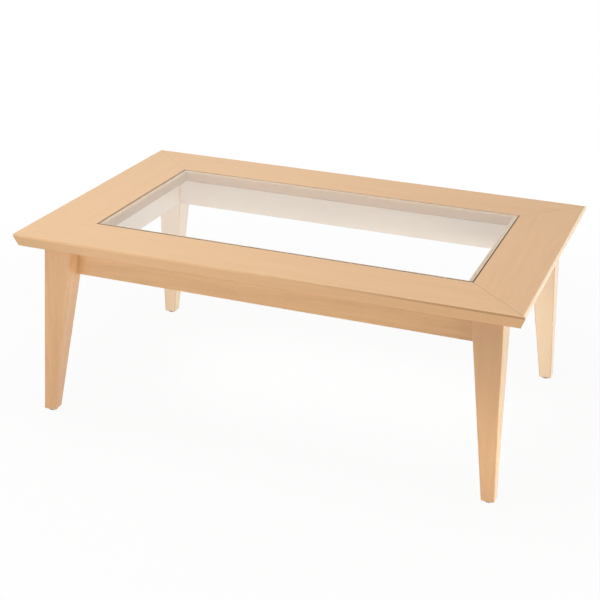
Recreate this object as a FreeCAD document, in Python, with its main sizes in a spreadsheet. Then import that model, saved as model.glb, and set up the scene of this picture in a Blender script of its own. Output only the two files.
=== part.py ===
import FreeCAD, Part
import os
import re
import Sketcher
from FreeCAD import Rotation, Vector
from math import pi

# Low table with a glass panel let into a wide mitred frame, on four raked and tapered legs.
# Millimetres, +X along the length, +Y away from the front, +Z up, origin on the floor under the middle.

sizes = {
    # Whole table
    "table_length": 1100,
    "table_depth": 700,
    "table_height": 430,
    # Top frame: rails with an upright edge, an undercut below it and a rebate for the glass
    "rail_width": 130,
    "rail_thickness": 28,
    "edge_height": 5,
    "undercut": 8,
    "undercut_round": 3,
    "ledge_width": 12,
    "arris_round": 1,
    "mitre_ease": 0.4,
    # Loose tongue across each mitre
    "tongue_length": 90,
    "tongue_width": 24,
    "tongue_thickness": 4,
    "tongue_clearance": 0.1,
    # Glass panel and the felt strips it lies on
    "glass_thickness": 6,
    "glass_gap": 1.5,
    "glass_corner": 3,
    "glass_arris": 0.8,
    "pad_thickness": 1,
    "pad_width": 10,
    "pad_margin": 1,
    "pad_gap": 3,
    # Legs: square head and foot, the foot set outwards by the rake
    "leg_inset": 47,
    "leg_head": 65,
    "leg_foot": 28,
    "leg_rake": 16,
    "leg_round": 2,
    "foot_chamfer": 2.5,
    # Aprons
    "apron_setback": 36,
    "apron_thickness": 18,
    "apron_height": 77,
    "apron_round": 1.5,
    "kerf_drop": 12,
    "kerf_width": 3,
    "kerf_depth": 9,
    # Dowels between the aprons and the legs, lower on the short aprons so that they pass each other
    "dowel_diameter": 8,
    "dowel_length": 40,
    "dowel_drop": 26,
    "dowel_spacing": 28,
    "dowel_stagger": 12,
    "dowel_chamfer": 1,
    "dowel_clearance": 0.1,
    "dowel_end_room": 1,
    # Folded clips between the aprons and the frame, and their screws
    "clip_width": 20,
    "clip_metal": 2,
    "clip_bend": 1,
    "clip_tab": 7,
    "clip_stand_off": 1,
    "clip_flange": 24,
    "clip_hole_clearance": 0.25,
    "clip_offset_long": 290,
    "clip_offset_short": 110,
    "clip_screw_bite": 14,
    "screw_diameter": 4,
    "screw_point": 4,
    "screw_head_diameter": 8,
    "screw_head_height": 2.4,
    "screw_crown_diameter": 5.6,
    # Foot glides and their nails
    "glide_diameter": 20,
    "glide_height": 3,
    "glide_round": 1.2,
    "nail_diameter": 2.4,
    "nail_length": 16,
    "nail_head_diameter": 7,
    "nail_head_height": 1,
    "nail_head_recess": 0.6,
}

doc = FreeCAD.newDocument("GlassTopTable")
sheet = doc.addObject("Spreadsheet::Sheet", "Sizes")
for row, (alias, value) in enumerate(sizes.items(), start=1):
    sheet.set(f"A{row}", alias.replace("_", " "))
    sheet.set(f"B{row}", str(value))
    sheet.setAlias(f"B{row}", alias)
doc.recompute()

# Lengths that follow from the sizes, as the expressions that pieces share.
rebate_depth = "(glass_thickness + pad_thickness)"
rail_foot_width = "(rail_width + ledge_width)"
head_level = "(table_height - rail_thickness)"
foot_level = "(glide_height + foot_chamfer)"
inner_slope = f"((leg_head - leg_foot + leg_rake) / ({head_level} - {foot_level}))"
apron_middle = "(apron_setback + apron_thickness / 2)"
apron_back = "(apron_setback + apron_thickness)"
foot_centre = "(leg_foot / 2 - leg_rake)"
foot_inset = f"(leg_inset + {foot_centre})"
clip_screw_reach = "(clip_stand_off + clip_metal + (clip_flange - clip_metal) / 2)"
dowel_bore = "(dowel_diameter + 2 * dowel_clearance)"
nail_head_top = "(nail_head_recess + nail_head_height)"
half_length = "(table_length / 2)"
half_depth = "(table_depth / 2)"
quarter_turns = (0, 90, 180, 270)

# Two lengths closer together than this count as the same.
flat = 0.01

# How far below the frame the dowels lie, on the long aprons and on the short ones.
long_drops = ("dowel_drop", "(dowel_drop + dowel_spacing)")
short_drops = tuple(f"({drop} + dowel_stagger)" for drop in long_drops)

# The corner inside the front and left aprons, from which the front left quarter's clips are placed.
inside_corner = (f"-{half_length} + leg_inset + {apron_back}", f"-{half_depth} + leg_inset + {apron_back}")


def formula(text):
    # Put the sheet's name before every size in an expression.
    def named(word):
        return f"Sizes.{word[0]}" if word[0] in sizes else word[0]
    return re.sub(r"[a-z_]+", named, text)


def number(text):
    return float(sheet.evalExpression(formula(text)))


def bind(thing, **expressions):
    for name, text in expressions.items():
        thing.setExpression(name, formula(text))


def place(thing, x="0", y="0", z="0", turn=None):
    # Put a piece at a point of the table that follows the sizes.
    thing.Placement.Rotation = turn or Rotation()
    for axis, text in (("x", x), ("y", y), ("z", z)):
        thing.setExpression(f"Placement.Base.{axis}", formula(text))


def about_z(angle):
    return Rotation(Vector(0, 0, 1), angle)


def new_body(label):
    body = doc.addObject("PartDesign::Body", label)
    body.Label = label
    return body


def new_sketch(body, name, role, lift="0"):
    # A sketch on one of the body's own planes, lifted along that plane's normal.
    sketch = body.newObject("Sketcher::SketchObject", name)
    plane = next(item for item in body.Origin.OriginFeatures if item.Role == role)
    sketch.AttachmentSupport = [(plane, "")]
    sketch.MapMode = "FlatFace"
    sketch.setExpression("AttachmentOffset.Base.z", formula(lift))
    return sketch


def fix_point(sketch, geometry, vertex, x, y):
    for kind, text in (("DistanceX", x), ("DistanceY", y)):
        row = sketch.addConstraint(Sketcher.Constraint(kind, -1, 1, geometry, vertex, number(text)))
        sketch.setExpression(f"Constraints[{row}]", formula(text))


def outline(sketch, corners):
    # A closed straight-sided outline whose corners follow the sizes.
    points = [Vector(number(x), number(y), 0) for x, y in corners]
    first = sketch.GeometryCount
    count = len(points)
    for step in range(count):
        sketch.addGeometry(Part.LineSegment(points[step], points[(step + 1) % count]))
    for step in range(count):
        following = first + (step + 1) % count
        sketch.addConstraint(Sketcher.Constraint("Coincident", first + step, 2, following, 1))
    for step, (x, y) in enumerate(corners):
        fix_point(sketch, first + step, 1, x, y)


def rounded_square(sketch, low, high, radius):
    # A square from (low, low) to (high, high) whose corners are quarter circles.
    near_end = f"{low} + {radius}"
    far_end = f"{high} - {radius}"
    runs = (((near_end, low), (far_end, low)), ((high, near_end), (high, far_end)),
            ((far_end, high), (near_end, high)), ((low, far_end), (low, near_end)))
    middles = ((far_end, near_end), (far_end, far_end), (near_end, far_end), (near_end, near_end))
    for run in runs:
        ends = [Vector(number(x), number(y), 0) for x, y in run]
        line = sketch.addGeometry(Part.LineSegment(*ends))
        for vertex, (x, y) in enumerate(run, start=1):
            fix_point(sketch, line, vertex, x, y)
    for step, (x, y) in enumerate(middles):
        round_off = Part.Circle(Vector(number(x), number(y), 0), Vector(0, 0, 1), number(radius))
        quarter = sketch.addGeometry(Part.ArcOfCircle(round_off, pi / 2 * (step - 1), pi / 2 * step))
        sketch.addConstraint(Sketcher.Constraint("Coincident", step, 2, quarter, 1))
        sketch.addConstraint(Sketcher.Constraint("Coincident", quarter, 2, (step + 1) % len(runs), 1))
        row = sketch.addConstraint(Sketcher.Constraint("Radius", quarter, number(radius)))
        sketch.setExpression(f"Constraints[{row}]", formula(radius))


def circle(sketch, x, y, diameter):
    middle = Vector(number(x), number(y), 0)
    geometry = sketch.addGeometry(Part.Circle(middle, Vector(0, 0, 1), number(diameter) / 2))
    fix_point(sketch, geometry, 3, x, y)
    row = sketch.addConstraint(Sketcher.Constraint("Diameter", geometry, number(diameter)))
    sketch.setExpression(f"Constraints[{row}]", formula(diameter))


def pad(body, name, sketch, length, symmetric=False, reverse=False):
    feature = body.newObject("PartDesign::Pad", name)
    feature.Profile = sketch
    feature.SideType = "Symmetric" if symmetric else "One side"
    feature.Reversed = reverse
    bind(feature, Length=length)
    doc.recompute()
    return feature


def cut_away(body, feature):
    # Recompute after a cut, and stop if it took nothing off.
    before = feature.BaseFeature.Shape.Volume
    doc.recompute()
    if feature.Shape.Volume > before - flat:
        raise ValueError(f"{body.Label}: {feature.Name} cuts nothing")
    return feature


def pocket(body, name, sketch, length, symmetric=False, reverse=False):
    feature = body.newObject("PartDesign::Pocket", name)
    feature.Profile = sketch
    feature.SideType = "Symmetric" if symmetric else "One side"
    feature.Reversed = reverse
    bind(feature, Length=length)
    return cut_away(body, feature)


def bore(body, name, diameter, depth, start, direction):
    # A round hole from a start point that follows the sizes, along a fixed direction.
    feature = body.newObject("PartDesign::SubtractiveCylinder", name)
    bind(feature, Radius=f"{diameter} / 2", Height=depth)
    place(feature, *start, turn=Rotation(Vector(0, 0, 1), Vector(*direction)))
    return cut_away(body, feature)


def v_groove(body, name, depth, run, start, angle):
    # A square bar that lies on its edge takes a V out of a level face, along a line at this angle to X.
    feature = body.newObject("PartDesign::SubtractiveBox", name)
    bind(feature, Length=run, Width=f"{depth} * sqrt(2)", Height=f"{depth} * sqrt(2)")
    x, y, level = start
    place(feature, x, y, f"{level} - {depth}", about_z(angle) * Rotation(Vector(1, 0, 0), 45))
    return cut_away(body, feature)


def turned(body, name, half_section):
    # A round piece: half its section, as radius and height, turned about Z.
    sketch = new_sketch(body, f"{name}Section", "XZ_Plane")
    outline(sketch, half_section)
    feature = body.newObject("PartDesign::Revolution", name)
    feature.Profile = sketch
    feature.ReferenceAxis = (sketch, ["V_Axis"])
    feature.Angle = 360
    doc.recompute()
    return feature


def edges_of(feature, chosen):
    return [f"Edge{row}" for row, edge in enumerate(feature.Shape.Edges, start=1) if chosen(edge)]


def soften(body, kind, name, base, chosen, **size):
    # A Fillet or Chamfer on the edges of a feature that a test chooses.
    feature = body.newObject(f"PartDesign::{kind}", name)
    feature.Base = (base, edges_of(base, chosen))
    bind(feature, **size)
    doc.recompute()
    return feature


def near(value, text):
    return abs(value - number(text)) < flat


def span(edge):
    return edge.BoundBox


def runs_along_x(edge, y, z):
    # True for an edge parallel to X at this y and z.
    box = span(edge)
    return box.YLength < flat and box.ZLength < flat and near(box.YMin, y) and near(box.ZMin, z)


def mirrored_group(label, *masters):
    # The pieces of one quarter and their mirror images in the other three, as one group of solids.
    quarter = doc.addObject("Part::Compound", f"{label}_quarter")
    quarter.Links = list(masters)
    across = doc.addObject("Part::Mirroring", f"{label}_across")
    across.Source = quarter
    across.Normal = Vector(1, 0, 0)
    half = doc.addObject("Part::Compound", f"{label}_half")
    half.Links = [quarter, across]
    behind = doc.addObject("Part::Mirroring", f"{label}_behind")
    behind.Source = half
    behind.Normal = Vector(0, 1, 0)
    group = doc.addObject("Part::Compound", label)
    group.Links = [half, behind]
    group.Label = label
    return group


def top_rail(label, length, clip_offset):
    # Built with its outer edge along X at y = 0, its inner side towards +Y.
    body = new_body(label)
    section = new_sketch(body, "Section", "YZ_Plane")
    outline(section, [
        ("0", "table_height"),
        ("rail_width", "table_height"),
        ("rail_width", f"table_height - {rebate_depth}"),
        (rail_foot_width, f"table_height - {rebate_depth}"),
        (rail_foot_width, head_level),
        ("undercut", head_level),
        ("0", "table_height - edge_height"),
    ])
    stick = pad(body, "Stick", section, length, symmetric=True)
    sharp = [("0", "table_height"), ("rail_width", "table_height"), (rail_foot_width, head_level)]
    rounded = soften(body, "Fillet", "Arrises", stick,
                     lambda edge: any(runs_along_x(edge, *corner) for corner in sharp), Radius="arris_round")
    soften(body, "Fillet", "UndercutFoot", rounded,
           lambda edge: runs_along_x(edge, "undercut", head_level), Radius="undercut_round")

    # Both ends sawn off at 45 degrees, the saw running past the wood by the ledge's width,
    # and the sharp edge of each cut eased on top.
    waste = new_sketch(body, "MitreWaste", "XY_Plane", lift=head_level)
    outer_end = f"({length} / 2 + ledge_width)"
    inner_end = f"({length} / 2 - {rail_foot_width} - ledge_width)"
    far_side = f"({rail_foot_width} + ledge_width)"
    for side in ("-", ""):
        outline(waste, [(f"{side}{outer_end}", "-ledge_width"), (f"{side}{outer_end}", far_side),
                        (f"{side}{inner_end}", far_side)])
    pocket(body, "Mitres", waste, "3 * rail_thickness", symmetric=True)
    for side, angle in (("-", 45), ("", 135)):
        v_groove(body, "MitreEase", "mitre_ease", f"({far_side} + ledge_width) * sqrt(2)",
                 (f"{side}{outer_end}", "-ledge_width", "table_height"), angle)

    # Half of each tongue's slot, cut across the mitre.
    slots = new_sketch(body, "TongueSlots", "XY_Plane", lift="table_height - rail_thickness / 2")
    along = "((tongue_length / 2 + tongue_clearance) / sqrt(2))"
    across = "((tongue_width / 2 + tongue_clearance) / sqrt(2))"
    for side in ("-", ""):
        outline(slots, [
            (f"{side}({length} / 2 - rail_width / 2 - ({steps}))", f"rail_width / 2 + {rises}")
            for steps, rises in tongue_corners(along, across)
        ])
    pocket(body, "Slots", slots, "tongue_thickness + 2 * tongue_clearance", symmetric=True)

    # Pilot holes for the clip screws, from below.
    pilots = new_sketch(body, "ClipPilots", "XY_Plane", lift=head_level)
    for side in ("-", ""):
        circle(pilots, f"{side}{clip_offset}", f"leg_inset + {apron_back} + {clip_screw_reach}",
               "screw_diameter")
    pocket(body, "Pilots", pilots, "clip_screw_bite", reverse=True)
    return body


def tongue_corners(along, across):
    # Corners of a rectangle that lies along a 45 degree mitre, from its middle.
    return [(f"{a}{along} {b}{across}", f"({a}{along} {c}{across})")
            for a, b, c in (("-", "-", "+"), ("-", "+", "-"), ("+", "+", "-"), ("+", "-", "+"))]


def mitre_tongues():
    body = new_body("mitre_tongue")
    plan = new_sketch(body, "Plan", "XY_Plane", lift="table_height - rail_thickness / 2")
    outline(plan, [
        (f"-{half_length} + rail_width / 2 + ({steps})", f"-{half_depth} + rail_width / 2 + {rises}")
        for steps, rises in tongue_corners("(tongue_length / 2 / sqrt(2))", "(tongue_width / 2 / sqrt(2))")
    ])
    pad(body, "Tongue", plan, "tongue_thickness", symmetric=True)
    return mirrored_group("mitre_tongues", body)


def glass_pane():
    body = new_body("glass_pane")
    plan = new_sketch(body, "Plan", "XY_Plane", lift="table_height - glass_thickness")
    reach = f"({half_length} - rail_width - glass_gap)"
    rise = f"({half_depth} - rail_width - glass_gap)"
    outline(plan, [(f"-{reach}", f"-{rise}"), (reach, f"-{rise}"), (reach, rise), (f"-{reach}", rise)])
    sheet_of_glass = pad(body, "Sheet", plan, "glass_thickness")
    rounded = soften(body, "Fillet", "Corners", sheet_of_glass,
                     lambda edge: near(span(edge).ZLength, "glass_thickness"), Radius="glass_corner")
    soften(body, "Chamfer", "GroundArris", rounded,
           lambda edge: span(edge).ZLength < flat, Size="glass_arris")
    return body


def glass_pads():
    # Two strips on each side of the ledge, the long ones running into the corners.
    reach = f"({half_length} - rail_width - pad_margin)"
    rise = f"({half_depth} - rail_width - pad_margin)"
    short_start = f"({rise} - pad_width - pad_gap)"
    strips = []
    for name, x, y, length, width in (
        ("pad_long", f"-{reach}", f"-{rise}", f"{reach} - pad_gap / 2", "pad_width"),
        ("pad_short", f"-{reach}", f"-{short_start}", "pad_width", f"{short_start} - pad_gap / 2"),
    ):
        strip = doc.addObject("Part::Box", name)
        bind(strip, Length=length, Width=width, Height="pad_thickness")
        place(strip, x, y, f"table_height - {rebate_depth}")
        strips.append(strip)
    return mirrored_group("glass_pads", *strips)


def inner_face(drop):
    # How far the leg's inner face lies from the head's outer one, this far below the frame.
    return f"(leg_head - ({drop}) * {inner_slope})"


def dowel_tip(drop):
    return f"({inner_face(drop)} - dowel_length / 2 - dowel_end_room)"


def leg(label, x, y, angle, drops_x, drops_y):
    # Built with the outer corner of its head over the origin and its inner faces towards +X and +Y.
    # Three rounded squares make it: the chamfered sole, the foot and the head, which the rake sets apart.
    body = new_body(label)
    sections = []
    for name, level, low, high in (
        ("Sole", "glide_height", "-leg_rake + foot_chamfer", "-leg_rake + leg_foot - foot_chamfer"),
        ("Foot", foot_level, "-leg_rake", "-leg_rake + leg_foot"),
        ("Head", head_level, "0", "leg_head"),
    ):
        section = new_sketch(body, name, "XY_Plane", lift=level)
        rounded_square(section, low, high, "leg_round")
        sections.append(section)
    taper = body.newObject("PartDesign::AdditiveLoft", "Taper")
    taper.Profile = sections[0]
    taper.Sections = sections[1:]
    taper.Ruled = True
    doc.recompute()

    # Two dowels come in through each inner face, half their length deep.
    for drop_x, drop_y in zip(drops_x, drops_y):
        bore(body, "DowelBoreX", dowel_bore, "dowel_length",
             (dowel_tip(drop_x), apron_middle, f"{head_level} - {drop_x}"), (1, 0, 0))
        bore(body, "DowelBoreY", dowel_bore, "dowel_length",
             (apron_middle, dowel_tip(drop_y), f"{head_level} - {drop_y}"), (0, 1, 0))
    bore(body, "NailBore", "nail_diameter", f"nail_length + {nail_head_top} - glide_height",
         (foot_centre, foot_centre, "glide_height"), (0, 0, 1))
    place(body, x, y, turn=about_z(angle))
    return body


def apron(label, half_run, x, y, angle, drops):
    # Built along X with its outer face at y = 0. Its ends follow the slope of the legs' inner faces.
    body = new_body(label)
    face = new_sketch(body, "Face", "XZ_Plane")
    top_end = f"({half_run} - leg_inset - leg_head)"
    low_end = f"({top_end} + apron_height * {inner_slope})"
    base_level = f"({head_level} - apron_height)"
    outline(face, [(f"-{top_end}", head_level), (f"-{low_end}", base_level), (low_end, base_level),
                   (top_end, head_level)])
    board = pad(body, "Board", face, "apron_thickness", reverse=True)
    soften(body, "Fillet", "LowerArrises", board,
           lambda edge: any(runs_along_x(edge, side, base_level) for side in ("0", "apron_thickness")),
           Radius="apron_round")

    # A saw kerf along the inside for the clips, and two dowel holes in each end.
    kerf = new_sketch(body, "KerfSection", "YZ_Plane")
    outline(kerf, [
        ("apron_thickness - kerf_depth", f"{head_level} - kerf_drop"),
        ("apron_thickness + kerf_depth", f"{head_level} - kerf_drop"),
        ("apron_thickness + kerf_depth", f"{head_level} - kerf_drop - kerf_width"),
        ("apron_thickness - kerf_depth", f"{head_level} - kerf_drop - kerf_width"),
    ])
    pocket(body, "Kerf", kerf, f"2 * {half_run}", symmetric=True)
    for drop in drops:
        end = f"({half_run} - leg_inset - {inner_face(drop)} - dowel_length / 2 - dowel_end_room)"
        for side, direction in (("-", -1), ("", 1)):
            bore(body, "DowelBore", dowel_bore, "dowel_length",
                 (f"{side}{end}", "apron_thickness / 2", f"{head_level} - {drop}"), (direction, 0, 0))
    place(body, x, y, turn=about_z(angle))
    return body


def dowel(label, x, y, drop, direction):
    body = new_body(label)
    radius = "dowel_diameter / 2"
    tip = "dowel_length / 2"
    turned(body, "Peg", [
        ("0", f"-{tip}"), (f"{radius} - dowel_chamfer", f"-{tip}"), (radius, f"-{tip} + dowel_chamfer"),
        (radius, f"{tip} - dowel_chamfer"), (f"{radius} - dowel_chamfer", tip), ("0", tip),
    ])
    place(body, x, y, f"{head_level} - {drop}", Rotation(Vector(0, 0, 1), Vector(*direction)))
    return body


def apron_dowels():
    # Half of each dowel is in the leg and half in the apron.
    corner_x = f"-{half_length} + leg_inset"
    corner_y = f"-{half_depth} + leg_inset"
    pegs = []
    for name, long_drop, short_drop in zip(("upper", "lower"), long_drops, short_drops):
        pegs.append(dowel(f"long_dowel_{name}", f"{corner_x} + {inner_face(long_drop)}",
                          f"{corner_y} + {apron_middle}", long_drop, (1, 0, 0)))
        pegs.append(dowel(f"short_dowel_{name}", f"{corner_x} + {apron_middle}",
                          f"{corner_y} + {inner_face(short_drop)}", short_drop, (0, 1, 0)))
    return mirrored_group("apron_dowels", *pegs)


def wood_screw(label, shank):
    # Pan head above z = 0, shank below it with a drawn-out point.
    body = new_body(label)
    radius = "screw_diameter / 2"
    head = "screw_head_diameter / 2"
    turned(body, "Screw", [
        ("0", f"-({shank})"), (radius, f"-({shank}) + screw_point"), (radius, "0"), (head, "0"),
        (head, "screw_head_height / 2"), ("screw_crown_diameter / 2", "screw_head_height"),
        ("0", "screw_head_height"),
    ])
    return body


def clip(label):
    # Built for the front apron, whose inner face is at y = 0, up to the frame's underside at head level.
    body = new_body(label)
    section = new_sketch(body, "Section", "YZ_Plane")
    riser = "(clip_stand_off + clip_metal)"
    tab_level = f"({head_level} - kerf_drop)"
    outline(section, [
        ("clip_stand_off", head_level),
        ("clip_stand_off + clip_flange", head_level),
        ("clip_stand_off + clip_flange", f"{head_level} - clip_metal"),
        (riser, f"{head_level} - clip_metal"),
        (riser, f"{tab_level} - clip_metal"),
        ("-clip_tab", f"{tab_level} - clip_metal"),
        ("-clip_tab", tab_level),
        ("clip_stand_off", tab_level),
    ])
    strip = pad(body, "Strip", section, "clip_width", symmetric=True)
    inner_bends = [(riser, f"{head_level} - clip_metal"), ("clip_stand_off", tab_level)]
    outer_bends = [("clip_stand_off", head_level), (riser, f"{tab_level} - clip_metal")]
    bent = soften(body, "Fillet", "InnerBends", strip,
                  lambda edge: any(runs_along_x(edge, *bend) for bend in inner_bends), Radius="clip_bend")
    soften(body, "Fillet", "OuterBends", bent,
           lambda edge: any(runs_along_x(edge, *bend) for bend in outer_bends),
           Radius="clip_bend + clip_metal")
    bore(body, "ScrewHole", "(screw_diameter + 2 * clip_hole_clearance)", "2 * clip_metal",
         ("0", clip_screw_reach, f"{head_level} - 2 * clip_metal"), (0, 0, 1))
    return body


def top_clips():
    x, y = inside_corner
    front_clip = clip("clip_long")
    place(front_clip, "-clip_offset_long", y)
    left_clip = clip("clip_short")
    place(left_clip, x, "-clip_offset_short", turn=about_z(-90))
    return mirrored_group("top_clips", front_clip, left_clip)


def clip_screws():
    x, y = inside_corner
    level = f"{head_level} - clip_metal"
    upwards = Rotation(Vector(1, 0, 0), 180)
    front_screw = wood_screw("clip_screw_long", "clip_metal + clip_screw_bite")
    place(front_screw, "-clip_offset_long", f"{y} + {clip_screw_reach}", level, upwards)
    left_screw = wood_screw("clip_screw_short", "clip_metal + clip_screw_bite")
    place(left_screw, f"{x} + {clip_screw_reach}", "-clip_offset_short", level, upwards)
    return mirrored_group("clip_screws", front_screw, left_screw)


def foot_glide(label, x, y):
    body = new_body(label)
    radius = "glide_diameter / 2"
    shaft = "nail_diameter / 2"
    recess = "nail_head_diameter / 2"
    disc = turned(body, "Disc", [
        (recess, "0"), (radius, "0"), (radius, "glide_height"), (shaft, "glide_height"),
        (shaft, nail_head_top), (recess, nail_head_top),
    ])
    soften(body, "Fillet", "Rim", disc,
           lambda edge: near(span(edge).ZMax, "0") and near(span(edge).XLength, "glide_diameter"),
           Radius="glide_round")
    place(body, x, y)
    return body


def glide_nails(x, y):
    body = new_body("glide_nail")
    shaft = "nail_diameter / 2"
    head = "nail_head_diameter / 2"
    turned(body, "Nail", [
        ("0", "nail_head_recess"), (head, "nail_head_recess"), (head, nail_head_top), (shaft, nail_head_top),
        (shaft, f"{nail_head_top} + nail_length - nail_diameter"), ("0", f"{nail_head_top} + nail_length"),
    ])
    place(body, x, y)
    return mirrored_group("glide_nails", body)


# The four sides, in quarter turns from the front, and the four corners, from the front left.
sides = (
    ("front", half_length, half_depth, "0", "-"),
    ("right", half_depth, half_length, "", "0"),
    ("back", half_length, half_depth, "0", ""),
    ("left", half_depth, half_length, "-", "0"),
)
corners = (("front_left", "-", "-"), ("front_right", "", "-"), ("back_right", "", ""), ("back_left", "-", ""))


def on_side(sign_x, sign_y, distance):
    # A point on the middle line of one side, this far out from the middle of the table.
    return [sign if sign == "0" else f"{sign}({distance})" for sign in (sign_x, sign_y)]


def at_corner(sign_x, sign_y, inset):
    return f"{sign_x}({half_length} - ({inset}))", f"{sign_y}({half_depth} - ({inset}))"


nodes = []
for (name, half_run, half_reach, sign_x, sign_y), angle in zip(sides, quarter_turns):
    is_long = half_run == half_length
    clip_offset = "clip_offset_long" if is_long else "clip_offset_short"
    rail = top_rail(f"top_rail_{name}", f"(2 * {half_run})", clip_offset)
    place(rail, *on_side(sign_x, sign_y, half_reach), turn=about_z(angle))
    outer_face = on_side(sign_x, sign_y, f"{half_reach} - leg_inset - apron_setback")
    board = apron(f"apron_{name}", half_run, *outer_face, angle, long_drops if is_long else short_drops)
    nodes += [rail, board]
for (name, sign_x, sign_y), angle in zip(corners, quarter_turns):
    # A quarter turn swaps which of the leg's inner faces meets the long apron.
    faces = (long_drops, short_drops) if angle % 180 == 0 else (short_drops, long_drops)
    nodes.append(leg(f"leg_{name}", *at_corner(sign_x, sign_y, "leg_inset"), angle, *faces))
    nodes.append(foot_glide(f"foot_glide_{name}", *at_corner(sign_x, sign_y, foot_inset)))
nodes += [mitre_tongues(), glass_pane(), glass_pads(), apron_dowels()]
nodes += [top_clips(), clip_screws(), glide_nails(*at_corner("-", "-", foot_inset))]
doc.recompute()

# Nothing is written unless every feature worked and every piece is a sound solid.
for item in doc.Objects:
    if "Invalid" in item.State or "Error" in item.State:
        raise ValueError(f"{item.Label} failed: {item.State}")
for node in nodes:
    if node.Shape.isNull() or not node.Shape.isValid() or not node.Shape.Solids:
        raise ValueError(f"{node.Label} has no sound solid")

os.makedirs("parts", exist_ok=True)
for node in nodes:
    node.Shape.exportStep(f"parts/{node.Label}.step")
    print(node.Label, len(node.Shape.Solids), round(node.Shape.Volume))
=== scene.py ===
import math
from functools import partial

import bmesh
import bpy
from mathutils import Matrix, Vector


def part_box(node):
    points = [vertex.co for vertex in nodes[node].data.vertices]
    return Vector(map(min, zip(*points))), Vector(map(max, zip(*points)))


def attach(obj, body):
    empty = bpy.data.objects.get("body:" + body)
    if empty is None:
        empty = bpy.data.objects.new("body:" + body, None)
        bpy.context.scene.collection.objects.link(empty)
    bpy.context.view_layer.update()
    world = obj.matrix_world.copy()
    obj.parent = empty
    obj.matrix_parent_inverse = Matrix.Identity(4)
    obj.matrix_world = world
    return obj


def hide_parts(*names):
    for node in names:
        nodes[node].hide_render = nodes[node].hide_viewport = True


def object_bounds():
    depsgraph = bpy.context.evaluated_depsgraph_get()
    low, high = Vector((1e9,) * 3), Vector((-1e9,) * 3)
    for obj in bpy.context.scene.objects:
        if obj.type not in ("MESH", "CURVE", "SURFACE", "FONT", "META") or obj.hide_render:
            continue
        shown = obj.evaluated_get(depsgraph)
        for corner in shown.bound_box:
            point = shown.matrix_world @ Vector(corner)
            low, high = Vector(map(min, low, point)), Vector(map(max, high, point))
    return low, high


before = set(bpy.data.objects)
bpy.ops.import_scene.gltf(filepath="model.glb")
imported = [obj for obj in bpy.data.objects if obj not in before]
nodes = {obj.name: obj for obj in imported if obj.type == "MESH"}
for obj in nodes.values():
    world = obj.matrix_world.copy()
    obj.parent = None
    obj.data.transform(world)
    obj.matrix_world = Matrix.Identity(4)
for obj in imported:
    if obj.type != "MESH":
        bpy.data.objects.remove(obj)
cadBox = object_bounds()
bpy.ops.object.select_all(action="DESELECT")
print("table loaded:", len(nodes), "pieces")


# node helpers

def addNode(tree, kind, sockets=None, **settings):
    made = tree.nodes.new("ShaderNode" + kind)
    for key, value in settings.items():
        setattr(made, key, value)
    for key, value in (sockets or {}).items():
        if isinstance(value, bpy.types.NodeSocket):
            tree.links.new(value, made.inputs[key])
        else:
            made.inputs[key].default_value = value
    return made


def objectPlace(tree):
    return addNode(tree, "TexCoord").outputs["Object"]


def surfaceNormal(tree):
    return addNode(tree, "NewGeometry").outputs["Normal"]


def splitAxes(tree, vector):
    return addNode(tree, "SeparateXYZ", {0: vector}).outputs


def calc(tree, operation, *values):
    return addNode(tree, "Math", dict(enumerate(values)), operation=operation).outputs[0]


def vectorCalc(tree, operation, *values):
    return addNode(tree, "VectorMath", dict(enumerate(values)), operation=operation).outputs


def stretched(tree, vector, scale):
    return vectorCalc(tree, "MULTIPLY", vector, scale)["Vector"]


def lengthOf(tree, vector):
    return vectorCalc(tree, "LENGTH", vector)["Value"]


def likeness(tree, first, second):            # 1 where both directions are the same
    return vectorCalc(tree, "DOT_PRODUCT", first, second)["Value"]


def remap(tree, value, fromLow, fromHigh, toLow=0.0, toHigh=1.0):
    return addNode(tree, "MapRange", {
        "Value": value, "From Min": fromLow, "From Max": fromHigh, "To Min": toLow, "To Max": toHigh,
    }, interpolation_type="SMOOTHSTEP").outputs["Result"]


def noise(tree, vector, scale=1.0, detail=2.0, roughness=0.5, distortion=0.0):
    return addNode(tree, "TexNoise", {
        "Vector": vector, "Scale": scale, "Detail": detail, "Roughness": roughness, "Distortion": distortion,
    }).outputs["Fac"]


def centred(tree, texture):                   # a noise lies round 0.5
    return calc(tree, "SUBTRACT", texture, 0.5)


def weighted(tree, parts):
    shares = [calc(tree, "MULTIPLY", value, weight) for value, weight in parts]
    total = shares[0]
    for share in shares[1:]:
        total = calc(tree, "ADD", total, share)
    return total


def blendColours(tree, share, first, second):
    sockets = {0: share, 6: first, 7: second}              # 6, 7 and output 2 are the colour ones
    return addNode(tree, "Mix", sockets, data_type="RGBA").outputs[2]


def newGroup(name, inputs, outputs):
    tree = bpy.data.node_groups.new(name, "ShaderNodeTree")
    for direction, sockets in (("INPUT", inputs), ("OUTPUT", outputs)):
        for label, kind in sockets.items():
            tree.interface.new_socket(label, in_out=direction, socket_type="NodeSocket" + kind)
    return tree, tree.nodes.new("NodeGroupInput").outputs, tree.nodes.new("NodeGroupOutput").inputs


def useGroup(tree, group, sockets):
    return addNode(tree, "Group", sockets, node_tree=group).outputs


def newMaterial(name):
    material = bpy.data.materials.new(name)
    material.use_nodes = True
    material.node_tree.nodes.clear()
    return material, material.node_tree


def closeMaterial(tree, shader):
    addNode(tree, "OutputMaterial", {"Surface": shader.outputs[0]})


def dress(pieceName, material):
    mesh = nodes[pieceName].data
    mesh.materials.clear()
    mesh.materials.append(material)


# modelling helpers

def applyPlace():
    bpy.ops.object.transform_apply(location=True, rotation=True, scale=True)


def startBlock(name, low, high):
    bpy.ops.object.select_all(action="DESELECT")
    bpy.ops.mesh.primitive_cube_add(size=1, location=(Vector(low) + Vector(high)) / 2)
    made = bpy.context.object
    made.name = name
    made.scale = Vector(high) - Vector(low)
    applyPlace()
    return made


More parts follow.
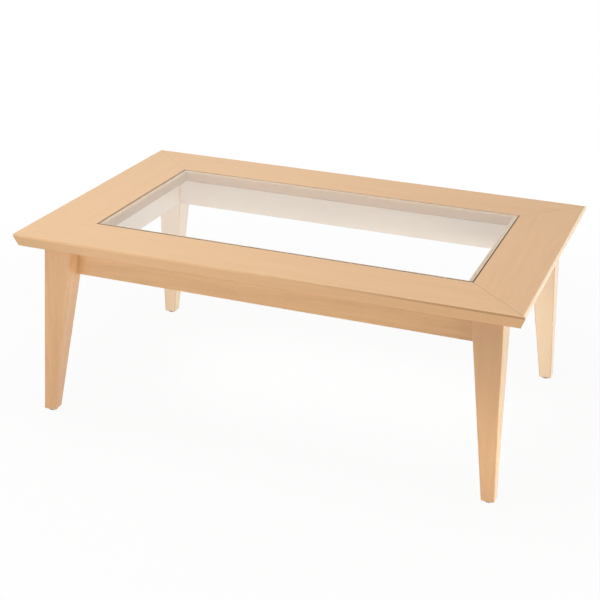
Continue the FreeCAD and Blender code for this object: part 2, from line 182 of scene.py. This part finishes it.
def pick(piece, part, wanted):
    bpy.ops.object.mode_set(mode="EDIT")
    bpy.ops.mesh.select_mode(type=part)
    bpy.ops.mesh.select_all(action="DESELECT")
    shape = bmesh.from_edit_mesh(piece.data)
    for found in shape.edges if part == "EDGE" else shape.faces:
        if wanted(found):
            found.select_set(True)
    bmesh.update_edit_mesh(piece.data)


def facesUp(face, straight=0.9):
    return face.normal.z > straight


def copyTo(piece, places):
    copies = [piece]
    for place in places:
        copies.append(piece.copy())
        copies[-1].data = piece.data.copy()
        copies[-1].location = place
        bpy.context.collection.objects.link(copies[-1])
    return copies


def joinPieces(name, pieces):
    bpy.ops.object.select_all(action="DESELECT")
    for piece in pieces:
        piece.select_set(True)
    bpy.context.view_layer.objects.active = pieces[0]
    applyPlace()
    bpy.ops.object.join()
    pieces[0].name = name
    bpy.ops.object.select_all(action="DESELECT")
    return pieces[0]


# shared effects

beechGrain = {                                # stretches are per metre, X runs with the grain
    "wander": (1.3, 6, 6),                    # the rings aren't true circles
    "wanderReach": 0.03,
    "lateWood": 5.0,                          # the higher, the thinner the dark line of each ring
    "ringShare": 0.25,
    "broad": (1.6, 13, 13),
    "broadShare": 1.1,
    "streak": (5, 75, 75),
    "streakShare": 1.3,
    "fibre": (16, 1100, 1100),
    "fibreShare": 0.5,
    "middleTone": 0.4,
    "fleckCell": (120, 760, 760),
    "fleckEdge": (0.42, 0.22),
    "fleckChoice": (0.65, 0.85),              # only some of the cells hold a fleck
    "fleckShare": 0.32,
}


def beechFigureGroup():
    tree, given, put = newGroup("beechFigure", {
        "Vector": "Vector", "Light": "Color", "Dark": "Color", "Fleck": "Color",
        "Ring Spacing": "Float", "Contrast": "Float",
    }, {"Color": "Color", "Grain": "Float", "Height": "Float"})
    along = given["Vector"]
    wander = noise(tree, stretched(tree, along, beechGrain["wander"]))
    offset = calc(tree, "MULTIPLY", centred(tree, wander), beechGrain["wanderReach"])
    fromPith = lengthOf(tree, stretched(tree, along, (0, 1, 1)))
    rings = calc(tree, "DIVIDE", calc(tree, "ADD", fromPith, offset), given["Ring Spacing"])
    ring = calc(tree, "POWER", calc(tree, "FRACT", rings), beechGrain["lateWood"])
    broad = noise(tree, stretched(tree, along, beechGrain["broad"]))
    streak = noise(tree, stretched(tree, along, beechGrain["streak"]), detail=3.0, distortion=0.4)
    fibre = noise(tree, stretched(tree, along, beechGrain["fibre"]), detail=3.0, roughness=0.6)
    tone = weighted(tree, [
        (ring, beechGrain["ringShare"]),
        (centred(tree, broad), beechGrain["broadShare"]),
        (centred(tree, streak), beechGrain["streakShare"]),
        (centred(tree, fibre), beechGrain["fibreShare"]),
    ])
    tone = calc(tree, "MULTIPLY", tone, given["Contrast"])
    tone = addNode(tree, "Clamp", {"Value": calc(tree, "ADD", beechGrain["middleTone"], tone)}).outputs[0]
    wood = blendColours(tree, tone, given["Light"], given["Dark"])
    cell = addNode(tree, "TexVoronoi", {
        "Vector": stretched(tree, along, beechGrain["fleckCell"]), "Scale": 1.0,
    }).outputs
    chosen = addNode(tree, "SeparateColor", {"Color": cell["Color"]}).outputs["Red"]
    chosen = remap(tree, chosen, *beechGrain["fleckChoice"])
    fleck = calc(tree, "MULTIPLY", remap(tree, cell["Distance"], *beechGrain["fleckEdge"]), chosen)
    share = calc(tree, "MULTIPLY", fleck, beechGrain["fleckShare"])
    share = calc(tree, "MULTIPLY", share, given["Contrast"])
    tree.links.new(blendColours(tree, share, wood, given["Fleck"]), put["Color"])
    tree.links.new(fibre, put["Grain"])
    tree.links.new(calc(tree, "SUBTRACT", fibre, fleck), put["Height"])
    return tree


# paler rounded arrises: partly wear in patches, partly painted highlight
edgeWearAndHighlight = {
    "samples": 4,
    "turn": (0.995, 0.8),                     # how far the rounded normal turns from the face's own
    "patchScale": 45.0,
    "patchEdge": (0.3, 0.7),
    "leastWearAndHighlight": 0.4,
}


def edgeToneGroup():
    tree, given, put = newGroup("edgeTone", {
        "Vector": "Vector", "Width": "Float", "Strength": "Float",
    }, {"Mask": "Float"})
    rounded = addNode(tree, "Bevel", {"Radius": given["Width"]}, samples=edgeWearAndHighlight["samples"]).outputs[0]
    edge = remap(tree, likeness(tree, rounded, surfaceNormal(tree)), *edgeWearAndHighlight["turn"])
    patches = noise(tree, given["Vector"], scale=edgeWearAndHighlight["patchScale"])
    patches = remap(tree, patches, *edgeWearAndHighlight["patchEdge"], edgeWearAndHighlight["leastWearAndHighlight"], 1.0)
    wearAndHighlight = calc(tree, "MULTIPLY", edge, patches)
    tree.links.new(calc(tree, "MULTIPLY", wearAndHighlight, given["Strength"]), put["Mask"])
    return tree


dustLayer = {
    "cloudScale": 9.0,
    "cloudEdge": (0.35, 0.75),
    "speckScale": 260.0,
    "speckEdge": (0.4, 0.8),
    "leastSpecks": 0.5,
}


def fineDustGroup():
    tree, given, put = newGroup("fineDust", {
        "Vector": "Vector", "Low": "Float", "High": "Float",
    }, {"Roughness": "Float", "Mask": "Float"})
    clouds = noise(tree, given["Vector"], scale=dustLayer["cloudScale"], detail=4.0)
    specks = noise(tree, given["Vector"], scale=dustLayer["speckScale"], detail=1.0)
    specks = remap(tree, specks, *dustLayer["speckEdge"], dustLayer["leastSpecks"], 1.0)
    mask = calc(tree, "MULTIPLY", remap(tree, clouds, *dustLayer["cloudEdge"]), specks)
    spread = calc(tree, "SUBTRACT", given["High"], given["Low"])
    tree.links.new(calc(tree, "ADD", given["Low"], calc(tree, "MULTIPLY", mask, spread)), put["Roughness"])
    tree.links.new(mask, put["Mask"])
    return tree


beechFigure = beechFigureGroup()
edgeTone = edgeToneGroup()
fineDust = fineDustGroup()
print("shared effects ready")


# beech boards: every board is cut from another place of the same wood

beechFinish = {
    "light": (0.760, 0.450, 0.218, 1),
    "dark": (0.590, 0.315, 0.136, 1),
    "fleck": (0.380, 0.185, 0.078, 1),
    # arris colour: wear and painted highlight
    "edge": (0.790, 0.530, 0.315, 1),
    "ringSpacing": 0.0034,
    "contrast": 0.95,
    "edgeWidth": 0.002,
    "edgeStrength": 0.35,
    "grainSpan": (0.3, 0.7),                  # part of the grain that the roughness follows
    "smoothest": 0.40,
    "roughest": 0.54,
    "bumpDepth": 0.00012,
    "bumpStrength": 0.6,
    "lacquer": 0.6,
    "lacquerRoughness": 0.16,
}
railFinish = dict(beechFinish, light=(0.776, 0.472, 0.235, 1), dark=(0.664, 0.377, 0.173, 1), contrast=0.6,
                  lacquer=0.2, lacquerRoughness=0.3)
apronFinish = dict(beechFinish, light=(0.758, 0.464, 0.219, 1), dark=(0.588, 0.325, 0.137, 1))
dowelFinish = dict(beechFinish, light=(0.74, 0.52, 0.32, 1), dark=(0.62, 0.40, 0.22, 1), contrast=0.8,
                   smoothest=0.6, roughest=0.75, lacquer=0.0)
grainTurn = {
    "alongX": (0, 0, 0),
    "alongY": (0, 0, -math.pi / 2),
    "upright": (0, math.pi / 2, 0),
}
pithSteps = {                                 # from the pith to a board's middle, metres
    "along": 0.37,                            # further along the trunk with every board
    "aside": (0.05, 0.021, 4),                # nearest, step, and after how many steps it starts again
    "below": (0.06, 0.013, 3),
}


def pithPlace(step):
    aside, below = (nearest + stride * (step % count)
                    for nearest, stride, count in (pithSteps["aside"], pithSteps["below"]))
    return pithSteps["along"] * step, aside, below


def woodVector(tree, pieceName, grain, step):
    low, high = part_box(pieceName)
    turn = grainTurn[grain]
    middle = Matrix.Rotation(turn[2], 3, "Z") @ Matrix.Rotation(turn[1], 3, "Y") @ ((low + high) / 2)
    return addNode(tree, "Mapping", {
        "Vector": objectPlace(tree), "Rotation": turn, "Location": Vector(pithPlace(step)) - middle,
    }).outputs[0]


def dressBoard(pieceName, grain, step, finish, tint=None):
    material, tree = newMaterial("beech_" + pieceName)
    vector = woodVector(tree, pieceName, grain, step)
    figure = useGroup(tree, beechFigure, {
        "Vector": vector, "Light": finish["light"], "Dark": finish["dark"], "Fleck": finish["fleck"],
        "Ring Spacing": finish["ringSpacing"], "Contrast": finish["contrast"],
    })
    edge = useGroup(tree, edgeTone, {
        "Vector": vector, "Width": finish["edgeWidth"], "Strength": finish["edgeStrength"],
    })
    bump = addNode(tree, "Bump", {
        "Height": figure["Height"], "Strength": finish["bumpStrength"], "Distance": finish["bumpDepth"],
    })
    wood = tint(tree, figure["Color"]) if tint else figure["Color"]
    roughness = remap(tree, figure["Grain"], *finish["grainSpan"], finish["smoothest"], finish["roughest"])
    closeMaterial(tree, addNode(tree, "BsdfPrincipled", {
        "Base Color": blendColours(tree, edge["Mask"], wood, finish["edge"]),
        "Roughness": roughness,
        "Normal": bump.outputs[0],
        "Coat Weight": finish["lacquer"],
        "Coat Roughness": finish["lacquerRoughness"],
    }))
    dress(pieceName, material)


# marks on the top frame, most of them painted light and painted shade, with the mitres' glue line, laid over
# each other in this order
# each place is a start and where the mark is full: metres, or for a slope a part of the surface normal

# painted shade colour for the undercut and the upright front edge
paintedShadeBrown = (0.400, 0.200, 0.082, 1)
frameMarks = {
    "paintedLightLeft": {                             # paler towards the left end, but not in the undercut: painted light
        "colour": (0.840, 0.555, 0.300, 1),
        "shares": (0.0, 0.45),
        "places": {"alongX": (0.5, -0.6), "slopeZ": (-0.5, -0.2)},
    },
    "undercut": {                             # darker, most at the left end: painted shade on the downward-facing undercut
        "colour": paintedShadeBrown,
        "shares": (0.25, 0.68),
        "places": {"alongX": (-0.3, -0.55), "slopeZ": (-0.2, -0.5)},
    },
    "paintedLightRight": {                               # the right-facing edge paler: painted light
        "colour": (0.960, 0.800, 0.590, 1),
        "shares": (0.0, 0.6),
        "places": {"slopeX": (0.55, 0.9)},
    },
    "arris": {                                # and its upper arris most, a little way in over the top: painted highlight
        "colour": (1.000, 0.805, 0.575, 1),
        "shares": (0.0, 1.0),
        "places": {"inFromRight": (0.0050, 0.0037), "slopeZ": (0.2, 0.6)},
    },
    "rim": {                                  # the upright front edge darker, mostly on the right: painted shade
        "colour": paintedShadeBrown,
        "shares": (0.0, 0.85),
        "places": {"alongX": (-0.1, 0.5), "slopeY": (-0.93, -0.99)},
    },
    "rebate": {                               # wall and arris of the rebate, a dark line round the glass: painted shade in the gap
        "colour": (0.340, 0.175, 0.072, 1),
        "shares": (0.0, 0.9),
        "places": {"outFromGlass": (0.0027, 0.0019)},
    },
    "ledge": {                                # ledge and inner face darker too: painted shade under the glass
        "colour": (0.490, 0.265, 0.098, 1),
        "shares": (0.0, 0.85),
        "places": {"outFromGlass": (0.0009, 0.0003)},
    },
    "glue": {                                 # glue line of the mitres, plainest at the front right
        "colour": (0.300, 0.150, 0.065, 1),
        "shares": (0.15, 0.85),
        "places": {"towardsFrontRight": (0.0, 0.7), "offMitre": (0.0011, 0.00033)},
    },
}


def framePlaces(tree):
    place = splitAxes(tree, objectPlace(tree))
    facing = splitAxes(tree, surfaceNormal(tree))
    inFromEnd = calc(tree, "SUBTRACT", cadBox[1].x, calc(tree, "ABSOLUTE", place["X"]))
    inFromSide = calc(tree, "SUBTRACT", cadBox[1].y, calc(tree, "ABSOLUTE", place["Y"]))
    glassIn = cadBox[1].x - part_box("glass_pane")[1].x
    return {
        "alongX": place["X"],
        "slopeX": facing["X"],
        "slopeY": facing["Y"],
        "slopeZ": facing["Z"],
        "inFromRight": calc(tree, "SUBTRACT", cadBox[1].x, place["X"]),
        "outFromGlass": calc(tree, "SUBTRACT", glassIn, calc(tree, "MINIMUM", inFromEnd, inFromSide)),
        "towardsFrontRight": calc(tree, "SUBTRACT", place["X"], place["Y"]),
        "offMitre": calc(tree, "ABSOLUTE", calc(tree, "SUBTRACT", inFromEnd, inFromSide)),
    }


def markFrame(tree, wood):
    measured = framePlaces(tree)
    for mark in frameMarks.values():
        # the shares go with the first place, and the others mask it
        (name, limits), *others = mark["places"].items()
        share = remap(tree, measured[name], *limits, *mark["shares"])
        for name, limits in others:
            share = calc(tree, "MULTIPLY", share, remap(tree, measured[name], *limits))
        wood = blendColours(tree, share, wood, mark["colour"])
    return wood


# faces of the aprons and legs whose tone differs, each by the way it faces: painted light and painted shade,
# and paler unstained inner faces

faceAim = (0.9, 0.99)                         # how straight a face has to look that way
rawAndPaintedLightInside = {"colour": (0.950, 0.840, 0.695, 1), "share": 0.8}       # inner faces left unstained, and paler still: painted light where they stand in shade
apronFaces = {
    "front": [dict(rawAndPaintedLightInside, face=(0, 1, 0))],
    "right": [dict(rawAndPaintedLightInside, face=(-1, 0, 0))],
    "back": [dict(rawAndPaintedLightInside, face=(0, -1, 0))],
    "left": [dict(rawAndPaintedLightInside, face=(1, 0, 0))],
}
# painted light: paler right and front faces on the back legs
paintedLightLeg = {"colour": (0.945, 0.760, 0.535, 1), "share": 0.7}
legFaces = {                                  # painted shade on the front right leg's front, painted light on its right face and on the back legs' right and front faces
    "front_left": [],
    "front_right": [
        {"face": (1, 0, 0), "colour": (0.660, 0.510, 0.250, 1), "share": 0.4},
        {"face": (0, -1, 0), "colour": (0.480, 0.272, 0.125, 1), "share": 0.6},
    ],
    "back_right": [dict(paintedLightLeg, face=(1, 0, 0)), dict(paintedLightLeg, face=(0, -1, 0))],
    "back_left": [dict(paintedLightLeg, face=(1, 0, 0)), dict(paintedLightLeg, face=(0, -1, 0))],
}


def tintFaces(tree, wood, marks):
    facing = surfaceNormal(tree)
    for mark in marks:
        share = remap(tree, likeness(tree, facing, mark["face"]), *faceAim, 0.0, mark["share"])
        wood = blendColours(tree, share, wood, mark["colour"])
    return wood


sideGrain = {"front": "alongX", "right": "alongY", "back": "alongX", "left": "alongY"}
boardSteps = {"legs": 9, "dowels": 15}        # aprons and rails come first, in turn
for index, (side, grain) in enumerate(sideGrain.items()):
    dressBoard("apron_" + side, grain, 2 * index, apronFinish, partial(tintFaces, marks=apronFaces[side]))
    dressBoard("top_rail_" + side, grain, 2 * index + 1, railFinish, markFrame)
for index, (corner, marks) in enumerate(legFaces.items()):
    dressBoard("leg_" + corner, "upright", boardSteps["legs"] + index, beechFinish,
               partial(tintFaces, marks=marks))
dressBoard("apron_dowels", "alongX", boardSteps["dowels"], dowelFinish)
print("beech boards and dowels dressed")


# ply tongues in the mitres

plyTongue = {
    "veneer": 0.0008,
    "pale": (0.74, 0.56, 0.36, 1),
    "deep": (0.55, 0.36, 0.20, 1),
    "layerEdge": (0.4, 0.6),
    "layerShare": 0.7,
    "fibreScale": 700.0,
    "fibreShare": 0.3,
    "roughness": 0.7,
}


def plyMaterial():
    material, tree = newMaterial("ply_tongue")
    place = objectPlace(tree)
    veneers = calc(tree, "DIVIDE", splitAxes(tree, place)["Z"], plyTongue["veneer"])
    layer = remap(tree, calc(tree, "PINGPONG", veneers, 1.0), *plyTongue["layerEdge"])
    fibre = noise(tree, place, scale=plyTongue["fibreScale"])
    shade = weighted(tree, [(layer, plyTongue["layerShare"]), (fibre, plyTongue["fibreShare"])])
    closeMaterial(tree, addNode(tree, "BsdfPrincipled", {
        "Base Color": blendColours(tree, shade, plyTongue["pale"], plyTongue["deep"]),
        "Roughness": plyTongue["roughness"],
    }))
    return material


dress("mitre_tongues", plyMaterial())
print("tongues dressed")


# clear glass with a ground edge

glassPane = {
    "tint": (0.99, 0.998, 0.994, 1),
    # painted shade: a brown tint on the ground edge darkens the line round the glass
    "edgeShadeTint": (0.86, 0.62, 0.39, 1),
    "edgeSlope": (0.99, 0.8),
    "ground": 0.12,
    "ior": 1.5,
    "lampTint": (0.90, 0.92, 0.91, 1),        # what the lamps' light keeps on its way through
}


def glassMaterial():
    material, tree = newMaterial("clear_glass")
    flat = calc(tree, "ABSOLUTE", splitAxes(tree, surfaceNormal(tree))["Z"])
    edge = remap(tree, flat, *glassPane["edgeSlope"])
    shader = addNode(tree, "BsdfPrincipled", {
        "Base Color": blendColours(tree, edge, glassPane["tint"], glassPane["edgeShadeTint"]),
        "Roughness": calc(tree, "MULTIPLY", edge, glassPane["ground"]),
        "IOR": glassPane["ior"],
        "Transmission Weight": 1.0,
    })
    clear = addNode(tree, "BsdfTransparent", {"Color": glassPane["lampTint"]})
    shadow = addNode(tree, "LightPath").outputs["Is Shadow Ray"]
    closeMaterial(tree, addNode(tree, "MixShader", {0: shadow, 1: shader.outputs[0], 2: clear.outputs[0]}))
    return material


dress("glass_pane", glassMaterial())
print("glass dressed")


# felt strips under the glass, pressed a little by its weight

feltStrip = {
    "width": 0.010,
    "gap": 0.003,
    "pressed": 0.0008,
    "rounding": 0.0003,
    "roundingSteps": 3,
    "pale": (0.49, 0.295, 0.115, 1),
    "deep": (0.43, 0.255, 0.095, 1),
    "fibreScale": 900.0,
    "fibreShare": 0.7,
    "clumpScale": 90.0,
    "clumpShare": 0.3,
    "shadeEdge": (0.35, 0.65),
    "tuft": 0.0003,
    "tuftStrength": 0.8,
    "roughness": 0.95,
    "sheen": 0.25,
}


def feltMaterial():
    material, tree = newMaterial("felt_strip")
    place = objectPlace(tree)
    fibre = noise(tree, place, scale=feltStrip["fibreScale"], detail=4.0, distortion=1.5)
    clumps = noise(tree, place, scale=feltStrip["clumpScale"])
    shade = weighted(tree, [(fibre, feltStrip["fibreShare"]), (clumps, feltStrip["clumpShare"])])
    shade = remap(tree, shade, *feltStrip["shadeEdge"])
    bump = addNode(tree, "Bump", {
        "Height": fibre, "Strength": feltStrip["tuftStrength"], "Distance": feltStrip["tuft"],
    })
    closeMaterial(tree, addNode(tree, "BsdfPrincipled", {
        "Base Color": blendColours(tree, shade, feltStrip["pale"], feltStrip["deep"]),
        "Roughness": feltStrip["roughness"],
        "Sheen Weight": feltStrip["sheen"],
        "Normal": bump.outputs[0],
    }))
    return material


def makeFelt():
    low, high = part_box("glass_pads")
    width, halfGap = feltStrip["width"], feltStrip["gap"] / 2
    top = low.z + feltStrip["pressed"]
    frontStrip = ((halfGap, low.y, low.z), (high.x, low.y + width, top))
    rightStrip = ((high.x - width, halfGap, low.z), (high.x, high.y - width - feltStrip["gap"], top))
    strips = []
    for start, end in (frontStrip, rightStrip):
        strip = startBlock("felt_strip", start, end)
        pick(strip, "EDGE", lambda edge: min(vert.co.z for vert in edge.verts) > (low.z + top) / 2)
        bpy.ops.mesh.bevel(offset=feltStrip["rounding"], segments=feltStrip["roundingSteps"], affect="EDGES")
        bpy.ops.object.mode_set(mode="OBJECT")
        across = -start[0] - end[0]
        over = -start[1] - end[1]
        strips += copyTo(strip, [(across, 0, 0), (0, over, 0), (across, over, 0)])
    felt = joinPieces("felt_strips", strips)
    felt.data.materials.append(feltMaterial())
    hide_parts("glass_pads")
    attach(felt, "table")


makeFelt()
print("felt strips laid")


# plated hardware and nylon glides

zincPlate = {
    "clean": (0.66, 0.67, 0.66, 1),
    "dusty": (0.50, 0.50, 0.47, 1),
    "smoothest": 0.22,
    "roughest": 0.45,
    "metallic": 1.0,
}
nylonGlide = {
    "clean": (0.055, 0.036, 0.026, 1),
    "dusty": (0.12, 0.09, 0.07, 1),
    "smoothest": 0.4,
    "roughest": 0.65,
    "metallic": 0.0,
}


def dustyMaterial(name, finish):
    material, tree = newMaterial(name)
    dust = useGroup(tree, fineDust, {
        "Vector": objectPlace(tree), "Low": finish["smoothest"], "High": finish["roughest"],
    })
    closeMaterial(tree, addNode(tree, "BsdfPrincipled", {
        "Base Color": blendColours(tree, dust["Mask"], finish["clean"], finish["dusty"]),
        "Roughness": dust["Roughness"],
        "Metallic": finish["metallic"],
    }))
    return material


zinc = dustyMaterial("zinc_plate", zincPlate)
nylon = dustyMaterial("brown_nylon", nylonGlide)
dress("top_clips", zinc)
dress("glide_nails", zinc)
for corner in legFaces:
    dress("foot_glide_" + corner, nylon)
print("clips, nails and glides dressed")

clipScrew = {
    "vertices": 32,
    "headRadius": 0.004,
    "headHeight": 0.0024,
    "crown": 0.0011,
    "crownSteps": 4,
    "shankRadius": 0.002,
    "point": 0.004,
    "recessReach": 0.0023,
    "recessWidth": 0.0009,
    "recessDepth": 0.0013,
    "recessTaper": 0.7,
    "smoothAngle": math.radians(30),
    "offsetLong": 0.290,                      # from the middle of the front and back rails
    "offsetShort": 0.110,                     # from the middle of the side rails
}


def makeRecess(level):
    reach, width, depth = clipScrew["recessReach"], clipScrew["recessWidth"] / 2, clipScrew["recessDepth"]
    taper = clipScrew["recessTaper"]
    bars = []
    for x, y in ((reach, width), (width, reach)):
        bar = startBlock("recess_bar", (-x, -y, level - depth), (x, y, level + depth))
        pick(bar, "FACE", facesUp)
        bpy.ops.transform.resize(value=(taper, taper, 1), center_override=(0, 0, level))
        bpy.ops.object.mode_set(mode="OBJECT")
        bars.append(bar)
    return bars


def makeScrew(low, high):
    seat = low + clipScrew["headHeight"]
    middle = (low + seat) / 2
    bpy.ops.object.select_all(action="DESELECT")
    bpy.ops.mesh.primitive_cylinder_add(vertices=clipScrew["vertices"], radius=clipScrew["headRadius"],
                                        depth=clipScrew["headHeight"], location=(0, 0, middle))
    screw = bpy.context.object
    applyPlace()
    pick(screw, "EDGE", lambda edge: max(vert.co.z for vert in edge.verts) < middle)
    bpy.ops.mesh.bevel(offset=clipScrew["crown"], segments=clipScrew["crownSteps"], affect="EDGES")
    pick(screw, "FACE", facesUp)
    bpy.ops.mesh.inset(thickness=clipScrew["headRadius"] - clipScrew["shankRadius"])
    for rise in (high - clipScrew["point"] - seat, clipScrew["point"]):
        bpy.ops.mesh.extrude_region_move(TRANSFORM_OT_translate={"value": (0, 0, rise)})
    bpy.ops.mesh.merge(type="CENTER")
    bpy.ops.object.mode_set(mode="OBJECT")
    for bar in makeRecess(low):
        cut = screw.modifiers.new("recess", "BOOLEAN")
        cut.object = bar
        cut.operation = "DIFFERENCE"
        bpy.context.view_layer.objects.active = screw
        bpy.ops.object.modifier_apply(modifier=cut.name)
        bpy.data.objects.remove(bar)
    return screw


def makeScrews():
    low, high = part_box("clip_screws")
    screw = makeScrew(low.z, high.z)
    x, y = high.x - clipScrew["headRadius"], high.y - clipScrew["headRadius"]
    places = [(side * clipScrew["offsetLong"], end * y, 0) for side in (-1, 1) for end in (-1, 1)]
    places += [(side * x, end * clipScrew["offsetShort"], 0) for side in (-1, 1) for end in (-1, 1)]
    copies = copyTo(screw, places[1:])
    screw.location = places[0]
    screws = joinPieces("pan_head_screws", copies)
    screws.select_set(True)
    bpy.ops.object.shade_smooth_by_angle(angle=clipScrew["smoothAngle"])
    screws.select_set(False)
    screws.data.materials.append(zinc)
    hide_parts("clip_screws")
    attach(screws, "table")


makeScrews()
print("clip screws made")


# studio: pale floor, white surround and soft lamps

studio = {
    "floorSize": 30.0,
    "floorColour": (0.88, 0.87, 0.86, 1),
    "whiteNear": 0.92,                        # share of plain white that the camera sees round the table
    "nearReach": 0.7,
    "farReach": 1.7,                          # from here on the floor is all white
    "ambient": 0.36,
}
lamps = {
    "overhead": {
        "place": (-0.4, -0.4, 2.5), "aim": (0.0, 0.0, 0.4), "size": (2.2, 1.8), "power": 36.5,
    },
    "frontFill": {
        "place": (-0.75, -2.15, 0.45), "aim": (-0.4, -0.3, 0.35), "size": (1.2, 0.5), "power": 10.4,
    },
    "kickerRight": {
        "place": (3.2, -0.7, 0.4), "aim": (0.4, 0.0, 0.25), "size": (1.2, 0.7), "power": 41,
    },
    "rightFill": {
        "place": (1.5, -1.0, 0.10), "aim": (0.4, 0.0, 0.06), "size": (0.6, 0.16), "power": 2.4,
    },
    "lowRight": {
        "place": (1.35, -1.1, 0.08), "aim": (0.49, -0.29, 0.10), "size": (0.6, 0.16), "power": 0.23,
        "beam": math.radians(20),
    },
    "leftCorner": {
        "place": (1.4, -0.75, 0.30), "aim": (-0.42, -0.27, 0.36), "size": (0.3, 0.12), "power": 0.018,
        "beam": math.radians(10),
    },
}


def seenDirectly(tree):
    path = addNode(tree, "LightPath").outputs
    seen = calc(tree, "MAXIMUM", path["Is Camera Ray"], path["Is Glossy Ray"])
    seen = calc(tree, "MAXIMUM", seen, path["Is Transmission Ray"])
    unscattered = calc(tree, "LESS_THAN", path["Diffuse Depth"], 0.5)        # no diffuse bounce so far
    return calc(tree, "MULTIPLY", seen, unscattered)


def makeFloor():
    bpy.ops.mesh.primitive_plane_add(size=studio["floorSize"])
    floor = bpy.context.object
    floor.name = "studio_floor"
    material, tree = newMaterial("pale_floor")
    soft = addNode(tree, "BsdfDiffuse", {"Color": studio["floorColour"]})
    white = addNode(tree, "Emission", {"Strength": 1.0})
    away = lengthOf(tree, objectPlace(tree))
    whiteness = remap(tree, away, studio["nearReach"], studio["farReach"], studio["whiteNear"], 1.0)
    share = calc(tree, "MULTIPLY", seenDirectly(tree), whiteness)
    closeMaterial(tree, addNode(tree, "MixShader", {0: share, 1: soft.outputs[0], 2: white.outputs[0]}))
    floor.data.materials.append(material)


def makeSurround():
    world = bpy.data.worlds.new("white_surround")
    bpy.context.scene.world = world
    world.use_nodes = True
    tree = world.node_tree
    tree.nodes.clear()
    shown = remap(tree, seenDirectly(tree), 0.0, 1.0, studio["ambient"], 1.0)
    background = addNode(tree, "Background", {"Color": (1, 1, 1, 1), "Strength": shown})
    addNode(tree, "OutputWorld", {"Surface": background.outputs[0]})


def makeLamp(name, lamp):
    bpy.ops.object.light_add(type="AREA", location=lamp["place"])
    made = bpy.context.object
    made.name = name
    made.rotation_euler = (Vector(lamp["aim"]) - Vector(lamp["place"])).to_track_quat("-Z", "Y").to_euler()
    made.data.shape = "RECTANGLE"
    made.data.size, made.data.size_y = lamp["size"]
    made.data.energy = lamp["power"]
    made.data.spread = lamp.get("beam", math.pi)


makeFloor()
makeSurround()
for name, lamp in lamps.items():
    makeLamp(name, lamp)
print("studio lit")


# camera at the photograph's viewpoint

photoCamera = {
    "place": (0.9085, -2.5066, 1.3631),
    "turn": math.radians(20.43),              # from +Y to the left
    "pitch": math.radians(22.94),             # looking down
    "roll": math.radians(1.30),
    "lens": 76.01,
}


def makeCamera():
    bpy.ops.object.camera_add(location=photoCamera["place"])
    made = bpy.context.object
    made.name = "photo_camera"
    aim = (Matrix.Rotation(photoCamera["turn"], 4, "Z")
           @ Matrix.Rotation(math.pi / 2 - photoCamera["pitch"], 4, "X")
           @ Matrix.Rotation(photoCamera["roll"], 4, "Z"))
    made.rotation_euler = aim.to_euler()
    made.data.lens = photoCamera["lens"]
    bpy.context.scene.camera = made


makeCamera()
bpy.context.scene.view_settings.view_transform = "Standard"
print("camera set")
